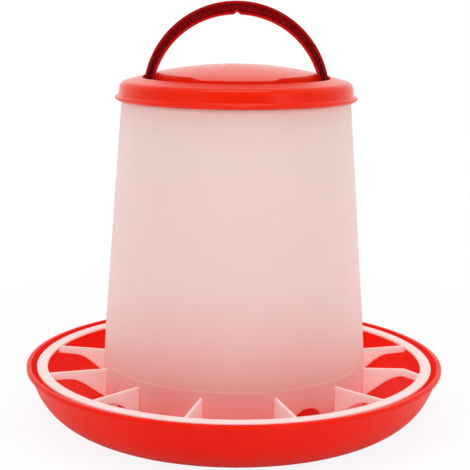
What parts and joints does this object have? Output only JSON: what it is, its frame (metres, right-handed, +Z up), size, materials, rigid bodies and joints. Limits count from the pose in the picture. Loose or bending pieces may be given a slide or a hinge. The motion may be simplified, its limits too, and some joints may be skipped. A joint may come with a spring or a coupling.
{
  "type": "poultry feeder",
  "caption": "Plastic poultry feeder: round red feed pan, translucent white hopper with an anti-waste grid, and a red domed lid with a folding carrying handle.",
  "frame": {"origin": "centre of the feed pan's underside, on the surface the feeder stands on", "axes": "+Z up through the lid's apex and the handle, -Y the front face seen in the picture, +X to the viewer's right; the handle's pivot runs along X"},
  "size_m": [0.3, 0.3, 0.299],
  "materials": {
    "pan_red": "gloss",
    "hopper_white": "satin",
    "lid_red": "gloss",
    "handle_red": "gloss"
  },
  "bodies": {
    "feeder": {"feed_pan": "pan_red", "hopper_with_grid": "hopper_white", "lid": "lid_red"},
    "carrying_handle": {"handle": "handle_red"}
  },
  "joints": [
    {"name": "handle_pivot", "type": "hinge", "parent": "feeder", "child": "carrying_handle", "pos_m": [0, 0, 0.225], "axis": [1, 0, 0], "range_deg": [-61, 61]}
  ]
}
